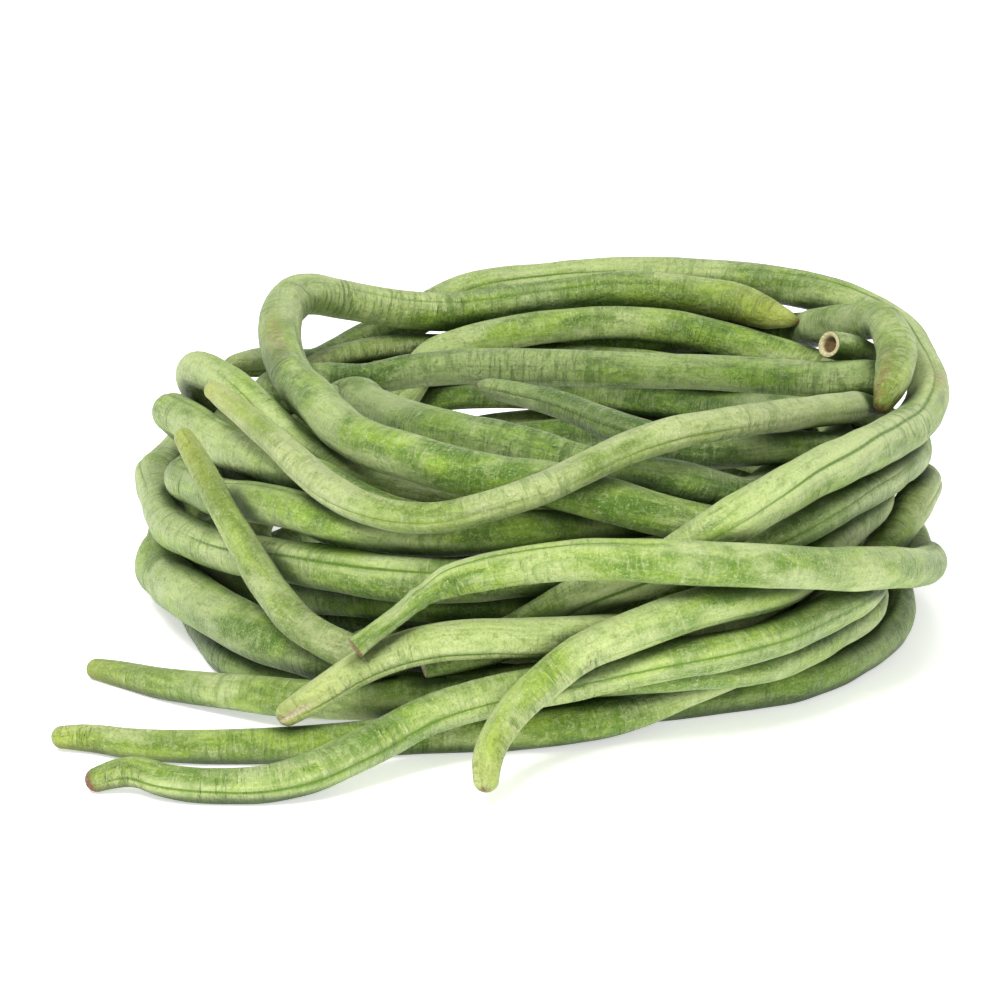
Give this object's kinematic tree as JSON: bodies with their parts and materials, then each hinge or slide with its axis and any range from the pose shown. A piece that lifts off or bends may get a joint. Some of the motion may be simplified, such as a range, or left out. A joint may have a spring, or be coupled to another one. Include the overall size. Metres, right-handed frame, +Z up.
{
  "type": "yardlong bean bunch",
  "caption": "Bunch of long slender green bean pods wound by hand into a loose low coil round an open middle, with free tips lying out in front.",
  "frame": {"origin": "on the surface that the bunch lies on, under the middle of its bounding box", "axes": "+Z up, -Y towards the side where the free tips lie, +X to the right seen from there"},
  "size_m": [0.2108, 0.2336, 0.0738],
  "materials": {
    "pod_green": "satin",
    "pod_pale": "satin",
    "pod_dark": "satin",
    "pod_olive": "satin"
  },
  "bodies": {
    "root": {"arched_pod": "pod_green", "back_inner_pod": "pod_dark", "bottom_pod": "pod_dark", "crossing_pod": "pod_dark", "cut_end_pod": "pod_green", "drooping_pod": "pod_green", "front_hooked_pod": "pod_pale", "front_long_pod": "pod_pale", "inner_floor_pod": "pod_dark", "inner_low_pod": "pod_dark", "inner_tip_pod": "pod_dark", "left_filling_pod": "pod_green", "left_inner_pod": "pod_green", "left_lower_pod": "pod_pale", "left_slanting_pod": "pod_olive", "left_thick_pod": "pod_green", "left_upper_pod": "pod_pale", "left_wall_pod": "pod_green", "necked_pod": "pod_pale", "outer_long_pod": "pod_green", "pale_slim_pod": "pod_olive", "pod_behind_arch": "pod_dark", "pod_under_rim": "pod_green", "slit_tip_pod": "pod_pale"}
  },
  "joints": []
}
